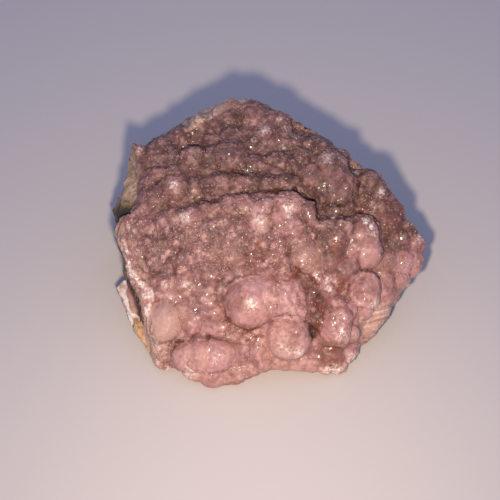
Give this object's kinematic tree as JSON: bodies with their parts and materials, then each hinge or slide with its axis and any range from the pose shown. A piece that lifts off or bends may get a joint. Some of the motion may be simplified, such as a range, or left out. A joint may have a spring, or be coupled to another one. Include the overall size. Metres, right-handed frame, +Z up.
{
  "type": "mineral specimen",
  "caption": "Loose hand specimen: a botryoidal calcite crust on broken host rock, resting on the flat underside of the rock.",
  "frame": {"origin": "on the flat underside of the host rock, near the middle of the patch that it lies on", "axes": "+Z up, away from the surface it lies on; -Y towards the front, where the crust comes down to the surface; +X to the right, along the length"},
  "size_m": [0.0705, 0.0601, 0.0316],
  "materials": {
    "cobaltoan_calcite": "drusy and pearly",
    "host_rock": "rough",
    "white_calcite": "cleaved and translucent"
  },
  "bodies": {
    "root": {"calcite_crust": "cobaltoan_calcite", "matrix_rock": "host_rock", "white_calcite": "white_calcite"}
  },
  "joints": []
}
